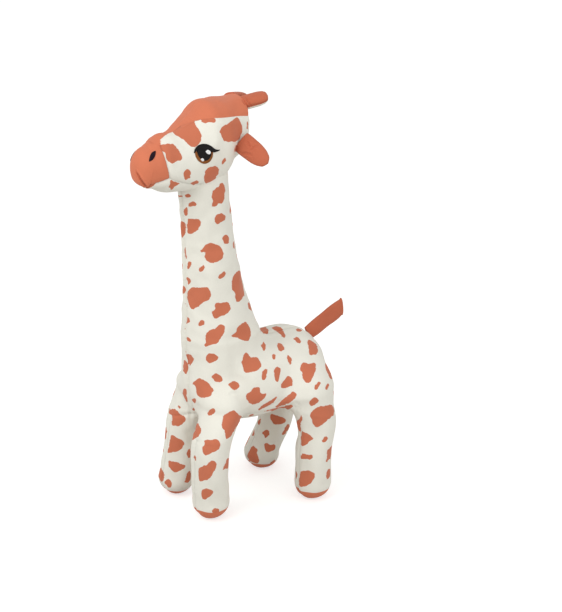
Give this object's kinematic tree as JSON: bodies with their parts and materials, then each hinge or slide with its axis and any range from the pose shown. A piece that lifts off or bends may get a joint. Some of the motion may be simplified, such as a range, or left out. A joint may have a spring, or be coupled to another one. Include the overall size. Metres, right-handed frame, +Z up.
{
  "type": "plush giraffe",
  "caption": "Stuffed toy giraffe standing on four padded legs, with a long neck, a level head, drooping ears, small horns and a short flat tail.",
  "frame": {"origin": "on the floor, under the middle of the toy's overall box", "axes": "+Z up, the longest extent; the toy looks along -Y and its left side is +X"},
  "size_m": [0.1266, 0.2306, 0.3997],
  "materials": {
    "printed_knit": "cream stretch knit printed with irregular terracotta spots",
    "terracotta_knit": "plain terracotta stretch knit",
    "polyester_filling": "loose white polyester fibre",
    "black_thread": "black satin stitch",
    "brown_thread": "brown satin stitch",
    "white_thread": "white satin stitch",
    "dark_thread": "dark purple-brown satin stitch"
  },
  "bodies": {
    "torso": {"torso_side_left": "printed_knit", "torso_side_right": "printed_knit", "belly_gusset": "printed_knit", "torso_filling": "polyester_filling"},
    "neck": {"neck_side_left": "printed_knit", "neck_side_right": "printed_knit", "neck_filling": "polyester_filling"},
    "head": {"crown": "terracotta_knit", "muzzle": "terracotta_knit", "chin_gusset": "printed_knit", "cheek_left": "printed_knit", "cheek_right": "printed_knit", "head_filling": "polyester_filling", "eye_left_lid_and_pupil": "black_thread", "eye_left_iris": "brown_thread", "eye_left_large_glint": "white_thread", "eye_left_small_glint": "white_thread", "eye_right_lid_and_pupil": "black_thread", "eye_right_iris": "brown_thread", "eye_right_large_glint": "white_thread", "eye_right_small_glint": "white_thread", "nostril_left": "dark_thread", "nostril_right": "dark_thread"},
    "ear_left": {"ear_left_front": "terracotta_knit", "ear_left_back": "terracotta_knit"},
    "ear_right": {"ear_right_front": "terracotta_knit", "ear_right_back": "terracotta_knit"},
    "horn_left": {"horn_left_top": "terracotta_knit", "horn_left_underside": "printed_knit"},
    "horn_right": {"horn_right_top": "terracotta_knit", "horn_right_underside": "printed_knit"},
    "tail": {"tail": "terracotta_knit"},
    "front_leg_left": {"front_leg_left_cover": "printed_knit", "front_leg_left_filling": "polyester_filling", "front_leg_left_sole": "terracotta_knit"},
    "front_leg_right": {"front_leg_right_cover": "printed_knit", "front_leg_right_filling": "polyester_filling", "front_leg_right_sole": "terracotta_knit"},
    "rear_leg_left": {"rear_leg_left_cover": "printed_knit", "rear_leg_left_filling": "polyester_filling", "rear_leg_left_sole": "terracotta_knit"},
    "rear_leg_right": {"rear_leg_right_cover": "printed_knit", "rear_leg_right_filling": "polyester_filling", "rear_leg_right_sole": "terracotta_knit"}
  },
  "joints": [
    {"name": "neck_bend", "type": "hinge", "parent": "torso", "child": "neck", "pos_m": [-0.00055, -0.02479, 0.1755], "axis": [1, 0, 0], "range_deg": [-12, 12], "stiffness_Nm_per_rad": 3},
    {"name": "head_nod", "type": "hinge", "parent": "neck", "child": "head", "pos_m": [-0.00055, -0.04129, 0.3245], "axis": [1, 0, 0], "range_deg": [-10, 10], "stiffness_Nm_per_rad": 1.5},
    {"name": "ear_left_bend", "type": "hinge", "parent": "head", "child": "ear_left", "pos_m": [0.02076, -0.01504, 0.36009], "axis": [-0.1571, 0.6322, 0.7587], "range_deg": [-20, 20], "stiffness_Nm_per_rad": 0.03},
    {"name": "ear_right_bend", "type": "hinge", "parent": "head", "child": "ear_right", "pos_m": [-0.02759, -0.02099, 0.36014], "axis": [0.011, 0.6484, 0.7613], "range_deg": [-20, 20], "stiffness_Nm_per_rad": 0.03},
    {"name": "horn_left_bend", "type": "hinge", "parent": "head", "child": "horn_left", "pos_m": [0.00329, 0.00098, 0.3913], "axis": [0.9657, -0.0609, -0.2523], "range_deg": [-12, 12], "stiffness_Nm_per_rad": 0.03},
    {"name": "horn_right_bend", "type": "hinge", "parent": "head", "child": "horn_right", "pos_m": [-0.01432, -0.00115, 0.39138], "axis": [-0.9397, -0.2343, -0.2494], "range_deg": [-12, 12], "stiffness_Nm_per_rad": 0.03},
    {"name": "tail_bend", "type": "hinge", "parent": "torso", "child": "tail", "pos_m": [-0.00058, 0.07813, 0.14923], "axis": [0.0014, -0.5893, 0.8079], "range_deg": [-30, 30], "stiffness_Nm_per_rad": 0.03},
    {"name": "front_leg_left_bend", "type": "hinge", "parent": "torso", "child": "front_leg_left", "pos_m": [0.02595, -0.03629, 0.112], "axis": [1, 0, 0], "range_deg": [-10, 10], "stiffness_Nm_per_rad": 2},
    {"name": "front_leg_right_bend", "type": "hinge", "parent": "torso", "child": "front_leg_right", "pos_m": [-0.02705, -0.03629, 0.112], "axis": [1, 0, 0], "range_deg": [-10, 10], "stiffness_Nm_per_rad": 2},
    {"name": "rear_leg_left_bend", "type": "hinge", "parent": "torso", "child": "rear_leg_left", "pos_m": [0.0357, 0.04771, 0.112], "axis": [1, 0, 0], "range_deg": [-10, 10], "stiffness_Nm_per_rad": 2},
    {"name": "rear_leg_right_bend", "type": "hinge", "parent": "torso", "child": "rear_leg_right", "pos_m": [-0.0368, 0.04771, 0.112], "axis": [1, 0, 0], "range_deg": [-10, 10], "stiffness_Nm_per_rad": 2}
  ]
}
